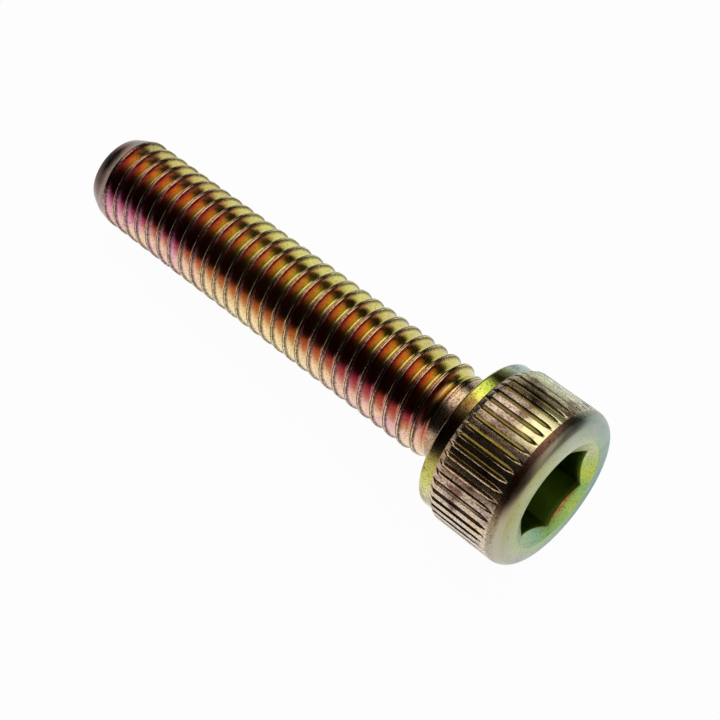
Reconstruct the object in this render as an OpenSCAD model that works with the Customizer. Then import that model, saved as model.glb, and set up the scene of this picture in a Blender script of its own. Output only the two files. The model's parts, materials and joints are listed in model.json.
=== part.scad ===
// Hex socket head cap screw, fully threaded, with a straight knurl round the head.
// It lies as it comes to rest on a flat surface: on the rim of the knurl and on the crest
// of the thread near the tip. The origin is the centre of the bearing face under the head,
// and the head points along +X.

/* [Thread] */
// Nominal diameter of the thread
thread_d = 6; // [5.8:0.1:7]
// Pitch of the thread
thread_pitch = 1; // [0.75:0.05:1.25]
// Length from the bearing face to the end of the tip
shank_l = 29.8; // [16:0.1:45]
// Angle of the thread's start round the axis
thread_turn = 25; // [0:1:359]
// Diameter of the flat end of the tip
tip_d = 5; // [4.2:0.1:5.5]
// Length of the tapered tip
tip_l = 1.1; // [0.6:0.1:2]

/* [Neck] */
// Diameter of the plain neck between the thread and the head
neck_d = 5.35; // [5.1:0.05:5.7]
// Length of the plain neck
neck_l = 1.4; // [1:0.1:4]
// Radius of the fillet between the neck and the bearing face
neck_fillet = 0.3; // [0.1:0.05:0.5]

/* [Head] */
// Diameter of the head over the knurl
head_d = 9.9; // [9.4:0.1:11]
// Height of the head
head_h = 5.95; // [5:0.05:7]
// Radius of the rounded edge round the face
face_round = 0.9; // [0.3:0.05:1.2]
// Height of the smooth band under the knurl
band_h = 0.85; // [0.6:0.05:1.6]
// Step from the knurl in to the smooth band
band_step = 0.25; // [0.22:0.01:0.4]
// Length of the bevel from the smooth band out to the knurl
bevel_l = 0.4; // [0.2:0.05:0.6]
// Radius of the rounded edge round the bearing face
bearing_round = 0.2; // [0.2:0.05:0.6]

/* [Knurl] */
// Number of grooves round the head
groove_n = 50; // [40:1:60]
// Depth of a groove
groove_depth = 0.2; // [0.1:0.01:0.21]
// Angle between the two sides of a groove
groove_angle = 70; // [50:1:80]
// Length over which the upper end of a groove fades out
groove_fade = 0.6; // [0.3:0.1:1]

/* [Socket] */
// Size of the hexagon key that fits the socket
key_af = 5; // [4.5:0.1:5.5]
// Clearance between the key and the socket, across the flats
key_gap = 0.05; // [0.02:0.01:0.12]
// Depth of the socket's flats below the face
socket_depth = 3; // [2:0.1:3.5]
// Angle of the socket round the axis
socket_turn = -7; // [-30:1:30]
// How far the bevel at the mouth reaches past the socket's corners
mouth_margin = 0.25; // [0.1:0.05:0.4]
// Slope of the bevel at the mouth, from the face
mouth_slope = 35; // [20:1:45]

/* [Hidden] */

// Steps round one turn of the thread
steps = 36;
// Sides of a round outline
arcs = 96;
// Two solids that join run this far into each other, and a cut runs this far past a face
overlap = 0.5;

// The thread's section after the standard metric profile: its slope, and its depth and the
// width of its crest as shares of the pitch
flank_angle = 30;
depth_share = 0.5635;
crest_share = 0.2;
thread_depth = depth_share * thread_pitch;
crest_w = crest_share * thread_pitch;
flank_w = thread_depth * tan(flank_angle);
// The rolled crest stays this far inside the nominal diameter
crest_loss = 0.05;
crest_r = thread_d / 2 - crest_loss;
root_r = crest_r - thread_depth;
tip_r = tip_d / 2;
neck_r = neck_d / 2;
// The thread fades out over this many pitches at the neck, and its root starts to deepen
// after this share of the tapered tip
runout_turns = 1.2;
runout_l = runout_turns * thread_pitch;
root_lag = 0.2;
// The thread's solid ends inside the neck, and stays this far under the neck's surface there
seat = 0.03;
thread_neck_r = neck_r - seat;

head_r = head_d / 2;
band_r = head_r - band_step;
groove_r = head_r - groove_depth;
groove_top = head_h - face_round;
bevel_top = band_h + bevel_l;

socket_af = key_af + key_gap;
corner_r = socket_af / sqrt(3);
mouth_r = corner_r + mouth_margin;
// The pilot hole lies this far inside the hexagon's flats, and its floor has this slope
pilot_gap = 0.05;
pilot_r = socket_af / 2 - pilot_gap;
point_slope = 30;

// The axis dips towards the tip by this much when the screw rests on head and thread
rest_tilt = atan((head_r - crest_r) / (shank_l - tip_l + bevel_top));

function mix(a, b, t) = a + (b - a) * min(1, max(0, t));

// Radius over the crests and over the roots, at height z from the bearing face
function crest_at(z) =
    min(mix(tip_r, crest_r, (z + shank_l) / tip_l),
        mix(thread_neck_r, crest_r, (-neck_l - z) / runout_l));
function root_at(z) =
    min(crest_at(z),
        max(mix(tip_r, root_r, (z + shank_l) / tip_l - root_lag),
            mix(thread_neck_r, root_r, (-neck_l - z) / runout_l)));

// One pitch of the profile: place along the pitch, and height from root (0) to crest (1)
PROFILE = [
    [0, 1],
    [crest_w, 1],
    [crest_w + flank_w, 0],
    [thread_pitch - flank_w, 0]
];
rows = len(PROFILE);
// The profile is placed down from the neck, in as many whole turns as the shank holds
winding_top = seat - neck_l;
turns = floor((shank_l + winding_top - PROFILE[rows - 1][0] - seat) / thread_pitch) + 1;
winding_foot = winding_top - PROFILE[rows - 1][0] - (turns - 1) * thread_pitch;

function turned(step, r, z) = [r * cos(360 * step / steps), r * sin(360 * step / steps), z];
function lead(step) = thread_pitch * step / steps;

// Rows of points from the tip to the neck: the flat end, the shoulder of the tapered tip,
// the winding profile, and the end inside the neck
function end_row() = [for (s = [0:steps - 1]) turned(s, tip_r, -shank_l)];
function shoulder_row() = [for (s = [0:steps - 1])
    let (z = -shank_l + min(tip_l, (winding_foot + lead(s) + shank_l) / 2))
    turned(s, crest_at(z), z)];
function wound_row(turn, row) = [for (s = [0:steps - 1])
    let (z = winding_foot + lead(s) + turn * thread_pitch + PROFILE[row][0])
    turned(s, mix(root_at(z), crest_at(z), PROFILE[row][1]), z)];
function neck_row() = [for (s = [0:steps - 1])
    turned(s, thread_neck_r, winding_top + thread_pitch + seat)];

// The thread as one closed surface. Each row goes once round the shank, and at the seam the
// end of a wound row meets the start of the row one turn up.
module thread() {
    start_rows = [end_row(), shoulder_row()];
    points = concat(
        [for (row = start_rows) each row],
        [for (turn = [0:turns - 1]) for (row = [0:rows - 1]) each wound_row(turn, row)],
        neck_row()
    );
    foot = len(start_rows);
    top = foot + turns * rows - 1;
    last = steps - 1;
    function at(column, row) = row * steps + column;
    function strip(a, row_a, b, row_b) = [
        [at(a, row_a), at(a, row_a + 1), at(b, row_b + 1)],
        [at(a, row_a), at(b, row_b + 1), at(b, row_b)]
    ];
    walls = [for (c = [0:last - 1]) for (row = [0:top]) each strip(c, row, c + 1, row)];
    seam = [for (row = [foot:top - rows - 1]) each strip(last, row, 0, row + rows)];
    seam_foot = concat(
        strip(last, 0, 0, 0),
        strip(last, 1, 0, 1),
        [for (row = [foot:foot + rows - 1]) [at(last, foot), at(0, row + 1), at(0, row)]]
    );
    seam_top = concat(
        [for (row = [top - rows:top - 1]) [at(last, row), at(last, row + 1), at(0, top)]],
        strip(last, top, 0, top)
    );
    caps = [
        [for (c = [0:last]) at(c, 0)],
        [for (c = [last:-1:0]) at(c, top + 1)]
    ];
    rotate(thread_turn)
        polyhedron(points, concat(walls, seam, seam_foot, seam_top, caps));
}

// Outline of the head and neck beside the axis, turned into one solid
module head_outline() {
    // Neck and the fillet under the head
    translate([0, -neck_l])
        square([neck_r, neck_l + overlap]);
    difference() {
        translate([0, -neck_fillet])
            square([neck_r + neck_fillet, neck_fillet + overlap]);
        translate([neck_r + neck_fillet, -neck_fillet])
            circle(neck_fillet, $fn = arcs);
    }
    // Smooth band with its rounded lower edge
    square([band_r - bearing_round, bevel_top]);
    translate([0, bearing_round])
        square([band_r, bevel_top - bearing_round]);
    translate([band_r - bearing_round, bearing_round])
        circle(bearing_round, $fn = arcs);
    // Knurled part, which starts with a bevel
    polygon([
        [0, band_h],
        [band_r, band_h],
        [head_r, bevel_top],
        [head_r, groove_top],
        [0, groove_top]
    ]);
    square([head_r - face_round, head_h]);
    translate([head_r - face_round, groove_top])
        circle(face_round, $fn = arcs);
}

// One groove of the knurl: a V along the head whose floor rises to a point at the upper end
module groove() {
    reach = groove_depth + overlap;
    side = reach * tan(groove_angle / 2);
    outer = groove_r + reach;
    foot_z = band_h - overlap;
    fade_z = groove_top - groove_fade;
    point_z = fade_z + groove_fade * reach / groove_depth;
    polyhedron(
        [
            [groove_r, 0, foot_z], [outer, side, foot_z], [outer, -side, foot_z],
            [groove_r, 0, fade_z], [outer, side, fade_z], [outer, -side, fade_z],
            [outer, 0, point_z]
        ],
        [
            [0, 2, 1],
            [0, 1, 4, 3],
            [0, 3, 5, 2],
            [1, 2, 5, 6, 4],
            [3, 4, 6],
            [3, 6, 5]
        ]
    );
}

module knurl_cuts() {
    for (i = [0:groove_n - 1])
        rotate(360 * (i + 0.5) / groove_n)
            groove();
}

// The hexagon socket, the pointed floor left by its pilot hole, and the bevel at its mouth
module socket_cut() {
    floor_z = head_h - socket_depth;
    point_h = pilot_r * tan(point_slope);
    mouth_h = mouth_r * tan(mouth_slope);
    rotate(socket_turn)
        translate([0, 0, floor_z])
            cylinder(r = corner_r, h = socket_depth + overlap, $fn = 6);
    rotate_extrude($fn = arcs)
        polygon([
            [0, floor_z - point_h],
            [pilot_r, floor_z],
            [pilot_r, floor_z + overlap],
            [0, floor_z + overlap]
        ]);
    translate([0, 0, head_h - mouth_h])
        cylinder(r1 = 0, r2 = mouth_r, h = mouth_h, $fn = arcs);
}

module cap_screw() {
    color("darkkhaki")
        rotate([0, 90 - rest_tilt, 0]) {
            difference() {
                rotate_extrude($fn = arcs)
                    head_outline();
                knurl_cuts();
                socket_cut();
            }
            thread();
        }
}

cap_screw();
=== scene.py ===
"""Dresses the hex socket cap screw: its rolled thread, knurled head and socket as one fine mesh
over the CAD part, the yellow zinc plating, and the studio that it lies in."""

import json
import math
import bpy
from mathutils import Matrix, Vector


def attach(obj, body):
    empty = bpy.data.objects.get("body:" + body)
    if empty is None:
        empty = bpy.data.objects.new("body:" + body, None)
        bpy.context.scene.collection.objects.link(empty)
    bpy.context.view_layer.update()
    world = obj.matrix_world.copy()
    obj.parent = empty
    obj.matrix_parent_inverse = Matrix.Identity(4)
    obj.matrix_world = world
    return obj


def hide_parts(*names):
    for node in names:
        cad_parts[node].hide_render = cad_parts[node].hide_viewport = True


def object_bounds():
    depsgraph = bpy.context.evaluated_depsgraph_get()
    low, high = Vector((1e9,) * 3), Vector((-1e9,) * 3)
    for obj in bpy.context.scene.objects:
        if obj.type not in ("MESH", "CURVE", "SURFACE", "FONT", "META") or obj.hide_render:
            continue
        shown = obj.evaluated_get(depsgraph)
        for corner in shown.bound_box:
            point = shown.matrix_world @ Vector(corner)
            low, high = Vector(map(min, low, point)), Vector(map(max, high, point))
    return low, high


bl_info = {
    "name": "Plated socket cap screw",
    "version": (1, 0, 0),
    "blender": (4, 5, 0),
    "location": "3D View > Sidebar > Cap Screw",
    "description": "Builds a yellow zinc plated hex socket cap screw over its CAD part, and a studio",
    "category": "Object",
}

from collections import namedtuple

import bpy
import numpy as np
from bpy.props import FloatProperty, FloatVectorProperty, IntProperty, PointerProperty
from mathutils import Matrix, Vector

MM = 0.001
NODE = "cap_screw"
PIECE = "plated_cap_screw"

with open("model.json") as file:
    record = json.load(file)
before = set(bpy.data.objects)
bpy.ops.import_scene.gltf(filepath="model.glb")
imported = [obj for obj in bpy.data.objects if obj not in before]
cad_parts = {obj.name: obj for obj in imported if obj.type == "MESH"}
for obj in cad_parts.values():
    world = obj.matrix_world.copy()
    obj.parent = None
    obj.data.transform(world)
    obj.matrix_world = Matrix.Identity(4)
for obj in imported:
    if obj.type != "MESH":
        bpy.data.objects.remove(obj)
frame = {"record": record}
CAD_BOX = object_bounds()
MOUNTS = {mount["name"]: mount for mount in frame["record"]["mounts"]}
# The screw's own axis, from the bearing face towards the head, and where it lies
AXIS = -Vector(MOUNTS["bearing_face"]["axis"]).normalized()
SIDEWAYS = Vector((0, 1, 0))
DOWNWARD = SIDEWAYS.cross(AXIS)
PLACE = Matrix((DOWNWARD, SIDEWAYS, AXIS)).transposed()
# The plating's colours and the room's strips are counted from this line along the screw, as an
# angle round its axis
COLOUR_LINE = math.radians(-152.5)
NEAR = DOWNWARD * math.cos(COLOUR_LINE) + SIDEWAYS * math.sin(COLOUR_LINE)
ASIDE = SIDEWAYS * math.cos(COLOUR_LINE) - DOWNWARD * math.sin(COLOUR_LINE)


class ThreadSizes(bpy.types.PropertyGroup):
    """The rolled thread and its tapered tip."""

    diameter: FloatProperty(
        name="Diameter", description="Nominal diameter of the thread",
        default=2 * MOUNTS["thread"]["dims"]["r_mm"] * MM, unit="LENGTH", precision=5)
    pitch: FloatProperty(
        name="Pitch", description="Distance from one crest to the next",
        default=1.0 * MM, unit="LENGTH", precision=5)
    length: FloatProperty(
        name="Length", description="From the bearing face to the end of the tip",
        default=29.8 * MM, unit="LENGTH", precision=5)
    start: FloatProperty(
        name="Start", description="Angle of the thread's start round the axis",
        default=math.radians(25), subtype="ANGLE")
    tip_diameter: FloatProperty(
        name="Tip diameter", description="Diameter of the flat end of the tip",
        default=5.0 * MM, unit="LENGTH", precision=5)
    tip_length: FloatProperty(
        name="Tip length", description="Length of the tapered tip",
        default=1.1 * MM, unit="LENGTH", precision=5)
    neck_diameter: FloatProperty(
        name="Neck diameter", description="Diameter of the plain neck under the head",
        default=5.35 * MM, unit="LENGTH", precision=5)
    neck_length: FloatProperty(
        name="Neck length", description="Length of the plain neck",
        default=1.4 * MM, unit="LENGTH", precision=5)


class HeadSizes(bpy.types.PropertyGroup):
    """The head, its knurl and its socket."""

    diameter: FloatProperty(
        name="Diameter", description="Diameter of the head over the knurl",
        default=CAD_BOX[1].y - CAD_BOX[0].y, unit="LENGTH", precision=5)
    height: FloatProperty(
        name="Height", description="From the bearing face to the top face",
        default=5.95 * MM, unit="LENGTH", precision=5)
    face_round: FloatProperty(
        name="Face rounding", description="Radius of the rounded edge round the top face",
        default=0.9 * MM, unit="LENGTH", precision=5)
    band_height: FloatProperty(
        name="Band height", description="Height of the smooth band under the knurl",
        default=0.85 * MM, unit="LENGTH", precision=5)
    band_step: FloatProperty(
        name="Band step", description="Step from the knurl in to the smooth band",
        default=0.25 * MM, unit="LENGTH", precision=5)
    bevel_length: FloatProperty(
        name="Bevel length", description="Length of the bevel from the band out to the knurl",
        default=0.4 * MM, unit="LENGTH", precision=5)
    bearing_round: FloatProperty(
        name="Bearing rounding", description="Radius of the rounded edge round the bearing face",
        default=0.2 * MM, unit="LENGTH", precision=5)
    grooves: IntProperty(
        name="Grooves", description="Number of grooves round the head", default=50, min=20)
    groove_depth: FloatProperty(
        name="Groove depth", description="Depth of a groove of the knurl",
        default=0.2 * MM, unit="LENGTH", precision=5)
    groove_angle: FloatProperty(
        name="Groove angle", description="Angle between the two sides of a groove",
        default=math.radians(70), subtype="ANGLE")
    groove_fade: FloatProperty(
        name="Groove fade", description="Length over which a groove runs out to its point",
        default=0.6 * MM, unit="LENGTH", precision=5)
    key_size: FloatProperty(
        name="Socket size", description="Across the flats of the hexagon socket",
        default=2 * MOUNTS["hex_socket"]["dims"]["r_mm"] * MM, unit="LENGTH", precision=5)
    socket_depth: FloatProperty(
        name="Socket depth", description="Depth of the socket's flats under the top face",
        default=MOUNTS["hex_socket"]["dims"]["length_mm"] * MM, unit="LENGTH", precision=5)
    socket_turn: FloatProperty(
        name="Socket turn", description="Angle of the socket round the axis",
        default=math.radians(-7), subtype="ANGLE")
    mouth_margin: FloatProperty(
        name="Mouth margin", description="How far the bevel at the mouth reaches past the corners",
        default=0.5 * MM, unit="LENGTH", precision=5)
    mouth_slope: FloatProperty(
        name="Mouth slope", description="Slope of the bevel at the mouth",
        default=math.radians(27), subtype="ANGLE")


class Studio(bpy.types.PropertyGroup):
    """The camera and the floor."""

    sight_from: FloatVectorProperty(
        name="Camera", description="Where the camera stands, from the centre of the bearing face",
        default=(28.314 * MM, -38.42 * MM, 75.835 * MM), subtype="XYZ_LENGTH")
    sight_along: FloatVectorProperty(
        name="Sight", description="Direction in which the camera looks",
        default=(-0.39486, 0.40804, -0.82316), subtype="DIRECTION")
    roll: FloatProperty(
        name="Roll", description="Turn of the camera round its sight", default=0.0, subtype="ANGLE")
    focal_length: FloatProperty(
        name="Focal length", description="Of the lens, in millimetres, for a 36 mm sensor",
        default=80.8)
    floor_size: FloatProperty(
        name="Floor", description="Side of the square floor", default=1.2, unit="LENGTH")


def share(low, high, value):
    """Straight blend from low to high, held at both ends."""
    return low + (high - low) * np.clip(value, 0, 1)


class ThreadShape:
    """The thread as rows of points that follow its helix, after the standard metric profile."""

    # Points in one turn of the helix
    STEPS = 90
    # The profile's depth as a share of the pitch, and the angle of its flanks
    DEPTH = 0.5635
    FLANK_ANGLE = math.radians(30)
    # The rolled crest stays this far inside the nominal diameter
    LOSS = 0.05 * MM
    # The thread fades out over this many pitches at the neck, and its root starts to deepen after
    # this share of the tapered tip
    RUNOUT = 1.2
    ROOT_LAG = 0.2
    # The thread ends this far under the neck's surface
    SEAT = 0.03 * MM
    # Size of the rounded edge round the flat end, and the rings that form it, as shares of that
    # size outwards from the end's radius and up from the end
    EDGE = 0.05 * MM
    END_RINGS = ((-4, 0), (-1, 0), (-0.3, 0.3), (0.1, 1))
    # Slope of the profile, in its own depths over a pitch, that counts as a full lean
    FULL_LEAN = 3
    # One pitch from a crest towards the head: place along the pitch, height from the root (0) to
    # the crest (1), and how dark the surface is painted there. Rolling leaves a fold in the crest,
    # between two lips.
    PROFILE = np.array([
        (0.000, 0.950, 0.2), (0.020, 0.990, 0.0), (0.055, 1.000, 0.0), (0.083, 0.990, 0.8),
        (0.100, 0.900, 1.0), (0.117, 0.990, 0.8), (0.150, 1.000, 0.0), (0.185, 0.990, 0.1),
        (0.210, 0.945, 0.9), (0.250, 0.823, 0.8), (0.310, 0.641, 0.0), (0.490, 0.120, 0.0),
        (0.550, 0.015, 0.0), (0.650, 0.015, 0.0), (0.710, 0.120, 0.0), (0.840, 0.490, 0.0),
        (0.980, 0.910, 0.0),
    ])

    def __init__(self, sizes):
        self.pitch = sizes.pitch
        self.length = sizes.length
        self.start = sizes.start
        self.tip_length = sizes.tip_length
        self.tip_r = sizes.tip_diameter / 2
        self.crest_r = sizes.diameter / 2 - self.LOSS
        self.root_r = self.crest_r - self.DEPTH * self.pitch
        self.neck_length = sizes.neck_length
        self.inner_r = sizes.neck_diameter / 2 - self.SEAT
        self.top = self.SEAT - self.neck_length
        flank = self.DEPTH * math.tan(self.FLANK_ANGLE)
        below = self.length + self.top - self.SEAT
        self.turns = int(below / self.pitch - 1 + flank) + 1
        self.foot = self.top - (self.turns - flank) * self.pitch
        self.angles = self.start + np.arange(self.STEPS) * 2 * math.pi / self.STEPS
        self.rise = self.pitch * np.arange(self.STEPS) / self.STEPS

    def crest_at(self, z):
        """Radius over the crests at that height."""
        tip = share(self.tip_r, self.crest_r, (z + self.length) / self.tip_length)
        neck = share(self.inner_r, self.crest_r, (-self.neck_length - z) / (self.RUNOUT * self.pitch))
        return np.minimum(tip, neck)

    def root_at(self, z):
        """Radius over the roots at that height."""
        tip = share(self.tip_r, self.root_r, (z + self.length) / self.tip_length - self.ROOT_LAG)
        neck = share(self.inner_r, self.root_r, (-self.neck_length - z) / (self.RUNOUT * self.pitch))
        return np.minimum(self.crest_at(z), np.maximum(tip, neck))

    def rows(self):
        """Radius, height, depth below the crest (0 to 1), lean and residue of each row of points."""
        flat = np.zeros(self.STEPS)
        made = []
        for out, up in self.END_RINGS:
            r = flat + self.tip_r + out * self.EDGE
            made.append((r, flat - self.length + up * self.EDGE, flat, flat, flat))
        shoulder = -self.length + np.minimum(self.tip_length, (self.foot + self.rise + self.length) / 2)
        made.append((self.crest_at(shoulder), shoulder, flat, flat, flat))
        self.plain = len(made)
        # Where a row's surface faces the head its lean is over 0, and where it faces the tip under
        # 0. It comes from the rows before and after, which at the ends are a pitch away.
        places, heights, seams = self.PROFILE.T
        run = np.append(places[1:], places[0] + 1) - np.insert(places[:-1], 0, places[-1] - 1)
        fall = np.roll(heights, 1) - np.roll(heights, -1)
        leans = np.clip(fall / run / self.FULL_LEAN, -1, 1)
        for turn in range(self.turns):
            for place, height, lean, seam in zip(places, heights, leans, seams):
                z = self.foot + self.rise + (turn + place) * self.pitch
                r = self.root_at(z) + (self.crest_at(z) - self.root_at(z)) * height
                made.append((r, z, flat + 1 - height, flat + lean, flat + seam))
        end = self.foot + (self.turns + 1) * self.pitch
        made.append((flat + self.inner_r, flat + end, flat, flat, flat))
        return made

    def faces(self):
        """Walls between the rows, the seam where each turn meets the next, and the two ends."""
        steps, rows = self.STEPS, len(self.PROFILE)
        top = self.plain + self.turns * rows - 1
        last = steps - 1

        def at(column, row):
            return row * steps + column

        def strip(a, row_a, b, row_b):
            return (at(a, row_a), at(b, row_b), at(b, row_b + 1), at(a, row_a + 1))

        walls = [strip(c, row, c + 1, row) for c in range(last) for row in range(top + 1)]
        walls += [strip(last, row, 0, row) for row in range(self.plain)]
        walls += [strip(last, row, 0, row + rows) for row in range(self.plain, top - rows)]
        walls += [(at(last, self.plain), at(0, row), at(0, row + 1))
                  for row in range(self.plain, self.plain + rows)]
        walls += [(at(last, row), at(0, top), at(last, row + 1)) for row in range(top - rows, top)]
        walls.append(strip(last, top, 0, top))
        ends = [tuple(at(c, 0) for c in range(last, -1, -1)), tuple(at(c, top + 1) for c in range(steps))]
        return walls + ends


# Half of the angle that one flat of a hexagon spans
HALF_FLAT = math.pi / 6


class HeadShape:
    """The head, neck and socket as rings of points round the axis."""

    # Columns across one groove and its land, in shares of their pitch from the groove's middle
    ACROSS = np.array([-0.5, -0.38, -0.28, -0.235, -0.19, -0.09, 0, 0.09, 0.19, 0.235, 0.28, 0.38])
    # Radius of the fillet under the head, and size of the small rounded edges
    FILLET = 0.3 * MM
    EDGE = 0.03 * MM
    # The pilot hole lies this far inside the flats, and its floor has this slope
    PILOT_GAP = 0.05 * MM
    POINT_SLOPE = math.radians(30)
    # Steps along the fillet, the edge of the bearing face and the edge of the top face, and how
    # many of the last belong to the rim
    FILLET_STEPS = 5
    BEARING_STEPS = 6
    ROUND_STEPS = 10
    RIM_STEPS = 6
    # Steps up the knurl, to where its grooves start to run out and on to their points
    LAND_STEPS = 4
    FADE_STEPS = 5
    # Rings across the top face, as shares of the way in to the mouth. The points turn on the way
    # from the grooves' places to the hexagon's.
    FACE_RINGS = (0.12, 0.3, 0.5, 0.7, 0.88, 1.0)
    # Rings down the socket, as shares of its depth, and over its floor, as shares of its radius
    SOCKET_RINGS = (0.15, 0.35, 0.6, 0.85)
    FLOOR_RINGS = (1.0, 0.7, 0.4, 0.1, 0.01)

    def __init__(self, sizes, thread):
        self.r = sizes.diameter / 2
        self.height = sizes.height
        self.face_round = sizes.face_round
        self.band_height = sizes.band_height
        self.band_r = self.r - sizes.band_step
        self.knurl_foot = sizes.band_height + sizes.bevel_length
        self.bevel_slope = sizes.band_step / sizes.bevel_length
        self.bearing_round = sizes.bearing_round
        self.depth = sizes.groove_depth
        self.slope = math.tan(sizes.groove_angle / 2)
        self.fade = sizes.groove_fade
        self.neck_r = thread.inner_r + thread.SEAT
        self.neck_length = thread.neck_length
        self.seat = thread.SEAT
        self.flats = sizes.key_size / 2
        self.socket_depth = sizes.socket_depth
        self.mouth_r = 2 * self.flats / math.sqrt(3) + sizes.mouth_margin
        self.mouth_slope = math.tan(sizes.mouth_slope)
        pitch = 2 * math.pi / sizes.grooves
        starts = (np.arange(sizes.grooves) + 0.5) * pitch
        self.angles = (starts[:, None] + self.ACROSS * pitch).ravel()
        self.off_groove = np.abs(np.tile(self.ACROSS, sizes.grooves)) * pitch * self.r
        self.columns = len(self.angles)
        step = 2 * math.pi / self.columns
        first = round((self.angles[0] - sizes.socket_turn) / step)
        self.hex_angles = sizes.socket_turn + (first + np.arange(self.columns)) * step
        side = (self.hex_angles - sizes.socket_turn) % (2 * HALF_FLAT) - HALF_FLAT
        self.hex_r = self.flats / np.cos(side)
        self.burr_angle = sizes.socket_turn + HALF_FLAT

    def groove_at(self, z):
        """Depth of the knurl's grooves at each column, at that height."""
        left = share(0, 1, (self.height - self.face_round - z) / self.fade)
        return np.maximum(0, self.depth * left - self.off_groove / self.slope)

    def arc(self, r, z, radius, begin, end, steps):
        """Points of a rounded edge about a centre, from one angle to another."""
        turned = np.radians(np.linspace(begin, end, steps + 1))
        return [(r + radius * math.cos(a), z + radius * math.sin(a)) for a in turned]

    def rings(self):
        """Radius, height, turn towards the hexagon (0 to 1), groove depth and region of each ring."""
        flat = np.zeros(self.columns)
        made = []

        def ring(r, z, region, turn=0.0, groove=flat):
            made.append((flat + r, flat + z, turn, groove, region))

        ring(self.neck_r - 2 * self.seat, -self.neck_length - self.seat, "band")
        ring(self.neck_r, -self.neck_length + self.seat, "band")
        fillet_r = self.neck_r + self.FILLET
        for r, z in self.arc(fillet_r, -self.FILLET, self.FILLET, 180, 90, self.FILLET_STEPS):
            ring(r, z, "band")
        edge = self.band_r - self.bearing_round
        for r, z in self.arc(edge, self.bearing_round, self.bearing_round, -90, 0, self.BEARING_STEPS):
            ring(r, z, "band")
        ring(self.band_r, self.band_height - self.EDGE, "band")
        up = 0.4 * self.EDGE
        ring(self.band_r + up * self.bevel_slope, self.band_height + up, "band")
        floor = self.r - self.depth
        ring(floor, self.band_height + (floor - self.band_r) / self.bevel_slope, "knurl")
        top = self.height - self.face_round
        crown = self.knurl_foot + self.EDGE
        heights = [self.knurl_foot - self.EDGE, crown]
        heights += list(np.linspace(crown, top - self.fade, self.LAND_STEPS + 1)[1:])
        heights += list(np.linspace(top - self.fade, top, self.FADE_STEPS + 1)[1:])
        for z in heights:
            groove = self.groove_at(z)
            outer = min(self.r, self.band_r + (z - self.band_height) * self.bevel_slope)
            ring(np.minimum(outer, self.r - groove), z, "knurl", 0.0, groove / self.depth)
        rounded = self.arc(self.r - self.face_round, top, self.face_round, 0, 90, self.ROUND_STEPS)
        for step, (r, z) in enumerate(rounded[1:], 1):
            ring(r, z, "rim" if step <= self.RIM_STEPS else "face")
        inner = self.mouth_r + self.EDGE
        for turn in self.FACE_RINGS:
            ring(share(rounded[-1][0], inner, turn), self.height, "face", turn)
        ring(self.mouth_r, self.height - 0.3 * self.EDGE, "face", 1.0)
        lip = self.mouth_r - self.EDGE
        lip_z = self.height - self.EDGE * self.mouth_slope
        bevel = self.height - (self.mouth_r - self.hex_r) * self.mouth_slope
        ring(lip, lip_z, "bevel", 1.0)
        ring((lip + self.hex_r) / 2, (lip_z + bevel) / 2, "bevel", 1.0)
        ring(self.hex_r + 0.5 * self.EDGE, bevel + 0.2 * self.EDGE, "bevel", 1.0)
        ring(self.hex_r, bevel - 0.6 * self.EDGE, "socket", 1.0)
        floor_z = self.height - self.socket_depth
        for level in self.SOCKET_RINGS:
            ring(self.hex_r, bevel + (floor_z - bevel) * level, "socket", 1.0)
        ring(self.hex_r, floor_z + self.EDGE, "socket", 1.0)
        ring(self.hex_r - self.EDGE, floor_z, "socket", 1.0)
        pilot = self.flats - self.PILOT_GAP
        for part in self.FLOOR_RINGS:
            drop = pilot * (1 - part) * math.tan(self.POINT_SLOPE)
            ring(pilot * part, floor_z - drop, "socket", 1.0)
        return made

    def faces(self, count):
        """Walls between the rings, and the two ends."""
        columns = self.columns
        walls = []
        for row in range(count - 1):
            for c in range(columns):
                d = (c + 1) % columns
                walls.append((row * columns + c, row * columns + d,
                              (row + 1) * columns + d, (row + 1) * columns + c))
        foot = tuple(range(columns - 1, -1, -1))
        end = tuple(range((count - 1) * columns, count * columns))
        return walls + [foot, end]


REGIONS = ["thread", "band", "knurl", "rim", "face", "bevel", "socket"]
# The broach left a burr on one flat of the hexagon. It is drawn where the mesh's burr number is
# over BURR, with an edge that is BURR_SOFT soft, and by BURR_SKEW it is wider towards one end.
BURR = 0.5
BURR_SKEW = 0.5
BURR_SOFT = 0.02
SHARP_ANGLE = math.radians(40)


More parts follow.
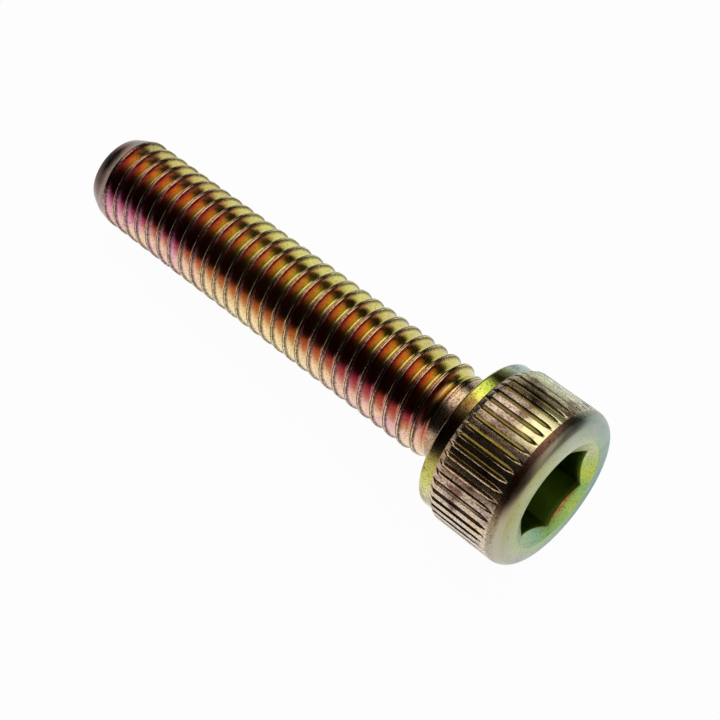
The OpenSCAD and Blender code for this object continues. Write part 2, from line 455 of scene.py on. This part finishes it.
def screw_mesh(thread, head):
    """The whole screw as one mesh, with what the plating needs to know at each point."""
    points, faces, slots = [], [], []
    names = ("side", "front", "along", "radius", "depth", "lean", "seam", "burr")
    fields = {name: [] for name in names}

    def add_points(angles, r, z, *rest):
        """One row or ring. The rest is its depth, lean, seam and burr."""
        points.append(np.stack([r * np.cos(angles), r * np.sin(angles), z], axis=-1))
        side, front = np.sin(angles - COLOUR_LINE), np.cos(angles - COLOUR_LINE)
        for name, values in zip(names, (side, front, z / MM, r / MM, *rest)):
            fields[name].append(values)

    for r, z, depth, lean, seam in thread.rows():
        add_points(thread.angles, r, z, depth, lean, seam, np.zeros(thread.STEPS))
    faces += thread.faces()
    slots += [REGIONS.index("thread")] * len(faces)
    used = sum(len(p) for p in points)
    rings = head.rings()
    zero = np.zeros(head.columns)
    for r, z, turn, groove, region in rings:
        angles = head.angles * (1 - turn) + head.hex_angles * turn
        # The number falls from the hexagon to 0 at the next ring out, so it passes BURR at the
        # share of the way that is given by wide
        off_flat = ((angles - head.burr_angle + math.pi) % (2 * math.pi) - math.pi) / HALF_FLAT
        wide = (1 - BURR) * (1 - off_flat ** 2) * (1 - BURR_SKEW * off_flat)
        at_flat = (r < head.hex_r + 0.6 * head.EDGE) & (turn == 1.0) & (np.abs(off_flat) < 1)
        burr = np.where(at_flat, BURR / (1 - wide), 0.0)
        add_points(angles, r, z, groove, zero, zero, burr)
    made = head.faces(len(rings))
    faces += [tuple(used + i for i in face) for face in made]
    for row in range(len(rings) - 1):
        slots += [REGIONS.index(rings[row + 1][-1])] * head.columns
    slots += [REGIONS.index("band"), REGIONS.index("socket")]

    mesh = bpy.data.meshes.new(PIECE)
    placed = np.concatenate(points) @ np.array(PLACE).T
    mesh.from_pydata(placed.tolist(), [], faces)
    for name, values in fields.items():
        layer = mesh.attributes.new(name, "FLOAT", "POINT")
        layer.data.foreach_set("value", np.concatenate(values).astype(np.float32))
    mesh.polygons.foreach_set("material_index", slots)
    mesh.polygons.foreach_set("use_smooth", [True] * len(faces))
    mesh.set_sharp_from_angle(angle=SHARP_ANGLE)
    return mesh


def srgb(text):
    """A hex colour as the linear values that a shader takes."""
    parts = [int(text[i:i + 2], 16) / 255 for i in (1, 3, 5)]
    return tuple(x / 12.92 if x <= 0.04045 else ((x + 0.055) / 1.055) ** 2.4 for x in parts) + (1.0,)


def add(tree, kind, sockets=None, stops=None, out=None, **settings):
    """Adds a node with its settings, links and values, and returns the output that is used."""
    made = tree.nodes.new("ShaderNode" + kind)
    for name, value in settings.items():
        setattr(made, name, value)
    if stops:
        marks = made.color_ramp.elements
        while len(marks) < len(stops):
            marks.new(1.0)
        for mark, (place, colour) in zip(marks, stops):
            mark.position = place
            mark.color = srgb(colour)
    for name, value in (sockets or {}).items():
        if isinstance(value, bpy.types.NodeSocket):
            tree.links.new(value, made.inputs[name])
        else:
            made.inputs[name].default_value = srgb(value) if isinstance(value, str) else value
    usable = [o for o in made.outputs if o.enabled]
    return made.outputs[out] if out else usable[0] if usable else None


def new_material(name):
    """An empty material and its node tree."""
    material = bpy.data.materials.new(name)
    material.use_nodes = True
    material.node_tree.nodes.clear()
    return material, material.node_tree


# Yellow chromated zinc: a thin electroplated zinc coat on steel, passivated in a chromate bath.
# The bath leaves a clear film that shows interference colours by its thickness, so one screw runs
# from straw and olive through orange and rose to teal, over a soft metal gloss with a fine grain.
# Four noises vary it: the size of their grain, and how many finer layers each has.
Noises = namedtuple("Noises", "fine speck blotch drift")
NOISES = Noises(fine=(0.05 * MM, 3.0), speck=(0.11 * MM, 3.0), blotch=(1.6 * MM, 4.0), drift=(9.0 * MM, 2.0))
# Nearly all of a noise lies between these
NOISE_SPAN = (0.3, 0.7)


def plating(region, paint, roughness, grain_height):
    """One region of the plating: paint gives its colour from the noises, and the rest is shared."""
    material, tree = new_material("yellow_zinc_" + region)
    place = add(tree, "TexCoord", out="Object")
    noise = Noises(*(add(tree, "TexNoise", {"Vector": place, "Scale": 1 / size, "Detail": detail})
                     for size, detail in NOISES))
    spread = between(tree, noise.blotch, *NOISE_SPAN, *roughness)
    bumps = add(tree, "Bump", {"Height": noise.fine, "Strength": 1.0, "Distance": grain_height})
    metal = add(tree, "BsdfPrincipled", {"Base Color": paint(tree, noise), "Metallic": 1.0,
                                         "Roughness": spread, "Normal": bumps})
    add(tree, "OutputMaterial", {"Surface": metal})
    return material


def field(tree, name):
    """A number that the mesh carries at each point."""
    return add(tree, "Attribute", out="Fac", attribute_name=name)


def between(tree, value, low, high, at_low=0.0, at_high=1.0):
    """A blend from at_low to at_high while the value goes from low to high, held at both ends."""
    return add(tree, "MapRange", {"Value": value, "From Min": low, "From Max": high,
                                  "To Min": at_low, "To Max": at_high})


def maths(tree, kind, a, b):
    """Two numbers put together."""
    return add(tree, "Math", {0: a, 1: b}, operation=kind)


def blend(tree, share_of_b, a, b):
    """Colour a with that share of colour b."""
    return add(tree, "Mix", {0: share_of_b, 6: a, 7: b}, data_type="RGBA")


def tint(tree, colour, share_of_b, b):
    """The colour multiplied by b, by that share."""
    return add(tree, "Mix", {0: share_of_b, 6: colour, 7: b}, data_type="RGBA", blend_type="MULTIPLY")


def mottle(tree, colour, amount, noise, stops):
    """The colour darkened in the pattern of a noise, by that share."""
    return tint(tree, colour, amount, ramp(tree, noise, stops))


def around(tree, noise, wander):
    """The place round the axis: 0.5 on the colour line, and 0 and 1 opposite. It wanders slowly, by
    up to that share of a turn."""
    turn = maths(tree, "ARCTAN2", field(tree, "side"), field(tree, "front"))
    shift = between(tree, noise.drift, *NOISE_SPAN, -wander, wander)
    return maths(tree, "ADD", between(tree, turn, -math.pi, math.pi), shift)


def ramp(tree, value, stops):
    """A colour from the value, by places between 0 and 1 and hex colours."""
    return add(tree, "ValToRGB", {"Fac": value}, stops=stops)


def round_ramp(tree, place, colours):
    """A ramp round the axis from degrees and colours."""
    return ramp(tree, place, [((angle + 180) / 360, colour) for angle, colour in colours])


# Millimetres of the shank that along_ramp covers
SHANK = 30


def along_ramp(tree, marks):
    """A share from 0 to 1 along the shank, from millimetres under the head and grey hex colours."""
    place = between(tree, field(tree, "along"), -SHANK, 0)
    return ramp(tree, place, [((z + SHANK) / SHANK, grey) for z, grey in marks])


# Where one colour gives way to the next, from and to. Along the axis from the bearing face, in
# millimetres:
TIP = (-28.2, -28.9)
BEARING_EDGE = (0.16, 0.0)
BAND_BEVEL = (0.8, 0.9)
KNURL_TOP = (3.1, 3.9)
RIM_TOP = (5.52, 5.66)
# Out from the axis, in millimetres:
TIP_END = (2.5, 2.3)
FACE_EDGE = (3.5, 4.1)
# Shares of a thread's or a groove's depth, and of the lean towards the tip:
CREST_LIPS = (0.10, 0.02)
ROOTS = (0.4, 0.98)
GROOVES = (0.1, 0.9)
FAR_FLANKS = (-0.15, -0.5)
# Values of a noise:
ROSE_PATCHES = (0.36, 0.5)
DARK_LINES = (0.9, 0.45)
KNURL_HIGHLIGHT_PATCHES = (0.3, 0.5)
FACE_PITS = (0.40, 0.32)
FACE_BLOOM = (0.52, 0.68)


def paint_thread(tree, noise):
    """Straw above and below, orange and red between them, olive in the roots, dark crest seams."""
    place = around(tree, noise, 0.012)
    outer = round_ramp(tree, place, [
        (-180, "#D8C880"), (-90, "#DCD480"), (-66, "#D8D478"), (-56, "#C8B860"), (-44, "#D08850"),
        (-30, "#D87C54"), (-18, "#D06450"), (-5, "#C05850"), (20, "#B86460"), (32, "#D09070"),
        (45, "#F0CC94"), (60, "#FFE4B0"), (90, "#FFECC0"), (180, "#D8C880")])
    inner = round_ramp(tree, place, [
        (-180, "#C0B868"), (-90, "#D8CC70"), (-66, "#D8C868"), (-52, "#C8C060"), (-36, "#C0B860"),
        (-22, "#B0A458"), (-8, "#A89850"), (20, "#A88850"), (35, "#C88850"), (48, "#D89C60"),
        (60, "#E4BC78"), (75, "#ECD08C"), (180, "#C0B868")])
    rose_outer = round_ramp(tree, place, [
        (-180, "#D8C880"), (-60, "#CCBC70"), (-46, "#D08050"), (-32, "#DC6C54"), (-18, "#C84450"),
        (-5, "#A83C50"), (20, "#B05878"), (32, "#D080A0"), (45, "#E0A0B4"), (60, "#F0B8BC"),
        (90, "#F4CCC4"), (180, "#D8C880")])
    rose_inner = round_ramp(tree, place, [
        (-180, "#C0B868"), (-60, "#D0C868"), (-44, "#C0A858"), (-30, "#C4A050"), (-18, "#C09850"),
        (-5, "#B08050"), (20, "#983C58"), (32, "#B04070"), (45, "#C87084"), (60, "#E0A8A0"),
        (90, "#E8C8B4"), (180, "#C0B868")])
    depth = field(tree, "depth")
    under = between(tree, depth, *ROOTS)
    far = between(tree, field(tree, "lean"), *FAR_FLANKS)
    below = maths(tree, "MAXIMUM", under, far)
    # The tip's third and the head's third of the shank are rosier, in patches
    rosy = along_ramp(tree, [(-30, "#FFFFFF"), (-22, "#FFFFFF"), (-18.5, "#404040"), (-16, "#000000"),
                             (-12, "#000000"), (-9, "#C0C0C0"), (-4, "#FFFFFF"), (-1, "#808080")])
    patch = between(tree, noise.blotch, *ROSE_PATCHES)
    rosy = maths(tree, "MULTIPLY", rosy, maths(tree, "MAXIMUM", patch, 0.45))
    straw = blend(tree, below, outer, inner)
    rose = blend(tree, below, rose_outer, rose_inner)
    colour = blend(tree, rosy, straw, rose)
    # The crests' lips are rubbed paler
    lip = between(tree, depth, *CREST_LIPS)
    rubbed = ramp(tree, noise.speck, [(0.34, "#9C8460"), (0.48, "#D0BC90"), (0.6, "#E8DCB8")])
    colour = blend(tree, maths(tree, "MULTIPLY", lip, 0.5), colour, rubbed)
    colour = mottle(tree, colour, 0.6, noise.speck, [(0.34, "#B8A898"), (0.48, "#FFFFFF")])
    end = round_ramp(tree, place, [
        (-180, "#A09088"), (-70, "#786C60"), (-52, "#58463A"), (-30, "#704434"), (-8, "#483024"),
        (25, "#483028"), (40, "#785C50"), (55, "#A07C74"), (75, "#BC9C98"), (180, "#A09088")])
    # The flat end has one colour all over, so that no rays run out from its centre
    end = blend(tree, between(tree, field(tree, "radius"), *TIP_END), end, "#8C7468")
    end = mottle(tree, end, 0.7, noise.speck, [(0.35, "#8C8078"), (0.5, "#FFFFFF")])
    colour = blend(tree, between(tree, field(tree, "along"), *TIP), colour, end)
    # The crest's fold and the edge just past it towards the head are painted near black, in specks
    dark = maths(tree, "MULTIPLY", field(tree, "seam"), between(tree, noise.speck, *DARK_LINES))
    return blend(tree, dark, colour, "#1E1712")


def paint_knurl(tree, noise):
    """Lands rubbed to a speckled tan, with straw green left in the grooves."""
    place = around(tree, noise, 0.01)
    land = round_ramp(tree, place, [
        (-180, "#B8B8A4"), (-80, "#B8C0B0"), (-60, "#BCBC98"), (-48, "#B8A484"), (-30, "#BCA898"),
        (-10, "#C0A890"), (5, "#B8A080"), (30, "#B89C8C"), (45, "#DCC4B0"), (60, "#ECDCC8"),
        (100, "#E0D8C8"), (180, "#B8B8A4")])
    land = mottle(tree, land, 0.8, noise.speck, [(0.32, "#7A6458"), (0.43, "#C8B8AC"), (0.53, "#FFFFFF")])
    land = mottle(tree, land, 1.0, noise.blotch, [(0.36, "#A08C84"), (0.48, "#FFFFFF"), (0.62, "#FFF8E0")])
    # Under the rim, on the side of the orange, a painted highlight lies on the lands in patches of pale
    # straw
    patch = round_ramp(tree, place, [(-52, "#000000"), (-42, "#FFFFFF"), (-16, "#FFFFFF"), (-8, "#000000")])
    patch = maths(tree, "MULTIPLY", patch, between(tree, field(tree, "along"), *KNURL_TOP))
    patch = maths(tree, "MULTIPLY", patch, between(tree, noise.blotch, *KNURL_HIGHLIGHT_PATCHES))
    land = blend(tree, patch, land, "#DCD09A")
    groove = round_ramp(tree, place, [
        (-180, "#A8B890"), (-70, "#A8B898"), (-45, "#A8A468"), (-20, "#A8A070"), (0, "#CCC080"),
        (20, "#CCBC78"), (40, "#A09468"), (80, "#B0AC8C"), (180, "#A8B890")])
    return blend(tree, between(tree, field(tree, "depth"), *GROOVES), land, groove)


def paint_band(tree, noise):
    """The smooth band: teal grey, then a bright straw green."""
    place = around(tree, noise, 0.01)
    colour = round_ramp(tree, place, [
        (-180, "#A8B0A0"), (-90, "#98B0AC"), (-64, "#98B8B0"), (-54, "#90A070"), (-42, "#909850"),
        (-34, "#B8CC50"), (-24, "#CCD058"), (-14, "#C8A860"), (0, "#8C6C48"), (26, "#8C7448"),
        (36, "#B8B058"), (48, "#CCC868"), (62, "#DCDA90"), (90, "#D8D4A4"), (180, "#A8B0A0")])
    colour = mottle(tree, colour, 0.8, noise.blotch, [(0.40, "#A88874"), (0.52, "#FFFFFF")])
    colour = mottle(tree, colour, 0.8, noise.speck, [(0.34, "#8C7858"), (0.46, "#FFFFFF")])
    # The bevel out to the knurl keeps more olive, and the edge under the head is rubbed to brown
    bevel = between(tree, field(tree, "along"), *BAND_BEVEL)
    colour = blend(tree, maths(tree, "MULTIPLY", bevel, 0.6), colour, "#A8A45C")
    under = between(tree, field(tree, "along"), *BEARING_EDGE)
    rubbed = ramp(tree, noise.speck, [(0.34, "#785848"), (0.55, "#C4A48C")])
    return blend(tree, maths(tree, "MULTIPLY", under, 0.85), colour, rubbed)


def paint_rim(tree, noise):
    """The rounded edge: rubbed down to a dark reddish brown in the middle."""
    place = around(tree, noise, 0.01)
    edge = round_ramp(tree, place, [
        (-180, "#A0A890"), (-75, "#98A494"), (-58, "#848C74"), (-48, "#685C44"), (-20, "#7A5844"),
        (5, "#7C5440"), (28, "#80604C"), (42, "#A08C6C"), (60, "#B8B098"), (100, "#B8B4A0"),
        (180, "#A0A890")])
    edge = mottle(tree, edge, 0.7, noise.speck, [(0.34, "#806858"), (0.55, "#FFFFFF")])
    crown = round_ramp(tree, place, [
        (-180, "#98A89C"), (-120, "#A4B0A8"), (-60, "#98A498"), (-20, "#A09478"), (10, "#AC9874"),
        (60, "#BCB49C"), (120, "#B8B8AC"), (180, "#98A89C")])
    uneven = maths(tree, "MULTIPLY", noise.blotch, 0.25)
    up = between(tree, maths(tree, "ADD", field(tree, "along"), uneven), *RIM_TOP)
    return blend(tree, up, edge, crown)


def paint_face(tree, noise):
    """The top face: pale olive towards the eye, green and teal beyond the socket, a greyer edge."""
    place = around(tree, noise, 0.02)
    mouth = round_ramp(tree, place, [
        (-180, "#94B468"), (-160, "#7CA878"), (-140, "#8CB078"), (-120, "#94B088"), (-100, "#9CBC90"),
        (-80, "#BCCC98"), (-40, "#C4CCA8"), (0, "#A4B070"), (40, "#A8B47C"), (80, "#B0C088"),
        (100, "#B4C090"), (120, "#ACBC8C"), (140, "#9CC484"), (160, "#8CB478"), (180, "#94B468")])
    edge = round_ramp(tree, place, [
        (-180, "#789890"), (-160, "#6C9494"), (-140, "#88A8A0"), (-120, "#94A8A8"), (-100, "#A4B8B0"),
        (-80, "#A0ACA0"), (-40, "#B8BCA4"), (0, "#B8B880"), (40, "#ACAC74"), (80, "#BCBCA4"),
        (100, "#B4B4A8"), (120, "#B8BCB0"), (140, "#A0ACA0"), (160, "#94B09C"), (180, "#789890")])
    out = between(tree, field(tree, "radius"), *FACE_EDGE)
    colour = blend(tree, out, mouth, edge)
    pits = between(tree, noise.speck, *FACE_PITS)
    colour = blend(tree, maths(tree, "MULTIPLY", pits, 0.6), colour, "#5C5A40")
    bloom = maths(tree, "MULTIPLY", between(tree, noise.blotch, *FACE_BLOOM), 0.4)
    return blend(tree, bloom, colour, "#C8CCC0")


def paint_bevel(tree, noise):
    """The bevel at the socket's mouth: as the face, and burnt orange where the broach went in."""
    place = around(tree, noise, 0.0)
    plain = round_ramp(tree, place, [
        (-180, "#B0C460"), (-158, "#98C070"), (-140, "#C4D058"), (-118, "#B8C878"), (-95, "#D0D4A8"),
        (-60, "#A8A484"), (0, "#808458"), (60, "#A0A880"), (95, "#A8C090"), (120, "#8CB090"),
        (140, "#88AC68"), (160, "#98B860"), (180, "#B0C468")])
    plain = mottle(tree, plain, 0.6, noise.speck, [(0.34, "#B0A888"), (0.5, "#FFFFFF")])
    burr = ramp(tree, noise.speck, [(0.35, "#A4662C"), (0.6, "#F0B868")])
    inside = between(tree, field(tree, "burr"), BURR - BURR_SOFT, BURR + BURR_SOFT)
    return blend(tree, inside, plain, burr)


def paint_socket(tree, noise):
    """Inside the socket: olive green, painted darker than the face round it as shade in the recess."""
    return ramp(tree, noise.blotch, [(0.3, "#607828"), (0.7, "#8CA040")])


# What paints each region, the least and the most of its roughness, and the height of its grain
PLATING = {
    "thread": (paint_thread, (0.14, 0.22), 0.004 * MM),
    "band": (paint_band, (0.18, 0.28), 0.004 * MM),
    "knurl": (paint_knurl, (0.18, 0.30), 0.005 * MM),
    "rim": (paint_rim, (0.24, 0.36), 0.006 * MM),
    "face": (paint_face, (0.34, 0.46), 0.008 * MM),
    "bevel": (paint_bevel, (0.30, 0.45), 0.010 * MM),
    "socket": (paint_socket, (0.30, 0.45), 0.006 * MM),
}


class CAPSCREW_OT_build(bpy.types.Operator):
    """Builds the plated screw over its CAD part"""

    bl_idname = "capscrew.build"
    bl_label = "Build screw"

    def execute(self, context):
        thread = ThreadShape(context.scene.capscrew_thread)
        head = HeadShape(context.scene.capscrew_head, thread)
        mesh = screw_mesh(thread, head)
        for region in REGIONS:
            mesh.materials.append(plating(region, *PLATING[region]))
        screw = bpy.data.objects.new(PIECE, mesh)
        context.scene.collection.objects.link(screw)
        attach(screw, "root")
        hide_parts(NODE)
        return {"FINISHED"}


# How much of the paper is its own white, for what the camera and the metal see of it
PAPER_GLOW = 0.97
# The room's dark patch beyond the head: its middle, and the cosines where it starts and is full
PATCH_AT = 0.987 * AXIS - 0.08 * NEAR + 0.14 * ASIDE
PATCH = (0.955, 0.985)
# Its dark beam on the far side: the line across it, and its half width where it starts and is full
BEAM_ACROSS = 0.355 * AXIS + 0.918 * NEAR - 0.179 * ASIDE
BEAM = (0.24, 0.14)
BEAM_SIDE = (0.0, -0.2)
# The soft box: where it stands, how far away, its side in metres and its power in watts
LAMP_TURN = math.radians(-50)
LAMP_AT = NEAR * math.cos(LAMP_TURN) + ASIDE * math.sin(LAMP_TURN) - 0.45 * AXIS
LAMP_AWAY = 0.5
LAMP_SIZE = 0.4
LAMP_POWER = 0.4
# Width of the camera's sensor in millimetres, and where its sight starts
SENSOR = 36
CLIP_START = 1.0 * MM


class CAPSCREW_OT_stage(bpy.types.Operator):
    """Builds the floor, the world, the lamp and the camera"""

    bl_idname = "capscrew.stage"
    bl_label = "Build stage"

    def execute(self, context):
        studio = context.scene.capscrew_studio
        self.floor(context, studio)
        self.world(context)
        self.lamp(context)
        self.camera(context, studio)
        context.scene.view_settings.view_transform = "Standard"
        return {"FINISHED"}

    def floor(self, context, studio):
        """White paper under the screw."""
        half = studio.floor_size / 2
        level = CAD_BOX[0].z
        mesh = bpy.data.meshes.new("floor")
        corners = [(-half, -half, level), (half, -half, level), (half, half, level), (-half, half, level)]
        mesh.from_pydata(corners, [], [(0, 1, 2, 3)])
        floor = bpy.data.objects.new("floor", mesh)
        context.scene.collection.objects.link(floor)
        # What the camera and the metal see of the paper is mostly its own white, so that it stays
        # white in a plain light. The rest is lit, which keeps the screw's shadow.
        material, tree = new_material("white_paper")
        paper = add(tree, "BsdfDiffuse", {"Color": "#F4F4F2"})
        glow = add(tree, "Emission", {"Color": "#FFFFFF", "Strength": 1.0})
        seen = add(tree, "LightPath", out="Is Camera Ray")
        shiny = add(tree, "LightPath", out="Is Glossy Ray")
        clear = add(tree, "LightPath", out="Is Transmission Ray")
        either = maths(tree, "MAXIMUM", maths(tree, "MAXIMUM", seen, shiny), clear)
        part = maths(tree, "MULTIPLY", either, PAPER_GLOW)
        surface = add(tree, "MixShader", {0: part, 1: paper, 2: glow})
        add(tree, "OutputMaterial", {"Surface": surface})
        mesh.materials.append(material)

    def world(self, context):
        """White for the camera, and for the metal a bright room with dark strips along the screw."""
        world = bpy.data.worlds.new("studio")
        world.use_nodes = True
        context.scene.world = world
        tree = world.node_tree
        tree.nodes.clear()
        direction = add(tree, "TexCoord", out="Generated")

        def part(line):
            """How far the direction goes along that line."""
            sockets = {0: direction, 1: tuple(line.normalized())}
            return add(tree, "VectorMath", sockets, operation="DOT_PRODUCT", out="Value")

        turn = maths(tree, "ARCTAN2", part(ASIDE), part(NEAR))
        strips = round_ramp(tree, between(tree, turn, -math.pi, math.pi), [
            (-180, "#FFFFFF"), (-106, "#FFFFFF"), (-98, "#303030"), (-76, "#282828"),
            (-67, "#FFFFFF"), (-45, "#FFFFFF"), (-32, "#D8D8D8"), (-21, "#8C8C8C"), (-9, "#343434"),
            (0, "#202020"), (44, "#202020"), (52, "#303030"), (62, "#707070"), (75, "#C0C0C0"),
            (90, "#FFFFFF"), (180, "#FFFFFF")])
        room = blend(tree, between(tree, part(PATCH_AT), *PATCH), strips, "#585858")
        off_beam = maths(tree, "ABSOLUTE", part(BEAM_ACROSS), 0.0)
        far = between(tree, part(ASIDE), *BEAM_SIDE)
        beam = maths(tree, "MULTIPLY", between(tree, off_beam, *BEAM), far)
        room = blend(tree, beam, room, "#181818")
        # Dimmer beyond the tip
        foot = ramp(tree, between(tree, part(AXIS), -1.0, 1.0), [
            (0.0, "#707070"), (0.08, "#808080"), (0.16, "#B0B0B0"), (0.24, "#FFFFFF")])
        room = tint(tree, room, 1.0, foot)
        seen = add(tree, "LightPath", out="Is Camera Ray")
        colour = blend(tree, seen, room, "#FFFFFF")
        light = add(tree, "Background", {"Color": colour, "Strength": 1.0})
        add(tree, "OutputWorld", {"Surface": light})

    def lamp(self, context):
        """A soft box over the far side of the screw."""
        light = bpy.data.lights.new("soft_box", "AREA")
        light.size = LAMP_SIZE
        light.energy = LAMP_POWER
        lamp = bpy.data.objects.new("soft_box", light)
        lamp.location = LAMP_AT.normalized() * LAMP_AWAY
        lamp.rotation_euler = (-LAMP_AT).to_track_quat("-Z", "Y").to_euler()
        context.scene.collection.objects.link(lamp)

    def camera(self, context, studio):
        """The camera that took the photograph, as its sight was worked out."""
        data = bpy.data.cameras.new("camera")
        data.sensor_width = SENSOR
        data.lens = studio.focal_length
        data.clip_start = CLIP_START
        camera = bpy.data.objects.new("camera", data)
        turned = Vector(studio.sight_along).to_track_quat("-Z", "Y").to_matrix()
        turned = turned @ Matrix.Rotation(studio.roll, 3, "Z")
        camera.matrix_world = Matrix.Translation(studio.sight_from) @ turned.to_4x4()
        context.scene.collection.objects.link(camera)
        context.scene.camera = camera


class CAPSCREW_PT_panel(bpy.types.Panel):
    """The screw's sizes and its studio in the sidebar"""

    bl_label = "Cap Screw"
    bl_idname = "CAPSCREW_PT_panel"
    bl_space_type = "VIEW_3D"
    bl_region_type = "UI"
    bl_category = "Cap Screw"

    def draw(self, context):
        for title, group, operator in (
            ("Thread", context.scene.capscrew_thread, None),
            ("Head", context.scene.capscrew_head, CAPSCREW_OT_build),
            ("Studio", context.scene.capscrew_studio, CAPSCREW_OT_stage),
        ):
            box = self.layout.box()
            box.label(text=title)
            for name in group.bl_rna.properties.keys():
                if name not in ("rna_type", "name"):
                    box.prop(group, name)
            if operator:
                box.operator(operator.bl_idname)


CLASSES = (ThreadSizes, HeadSizes, Studio, CAPSCREW_OT_build, CAPSCREW_OT_stage, CAPSCREW_PT_panel)


def register():
    for kind in CLASSES:
        bpy.utils.register_class(kind)
    bpy.types.Scene.capscrew_thread = PointerProperty(type=ThreadSizes)
    bpy.types.Scene.capscrew_head = PointerProperty(type=HeadSizes)
    bpy.types.Scene.capscrew_studio = PointerProperty(type=Studio)


def unregister():
    del bpy.types.Scene.capscrew_studio
    del bpy.types.Scene.capscrew_head
    del bpy.types.Scene.capscrew_thread
    for kind in reversed(CLASSES):
        bpy.utils.unregister_class(kind)


def main():
    register()
    bpy.ops.capscrew.build()
    bpy.ops.capscrew.stage()


if __name__ == "__main__":
    main()
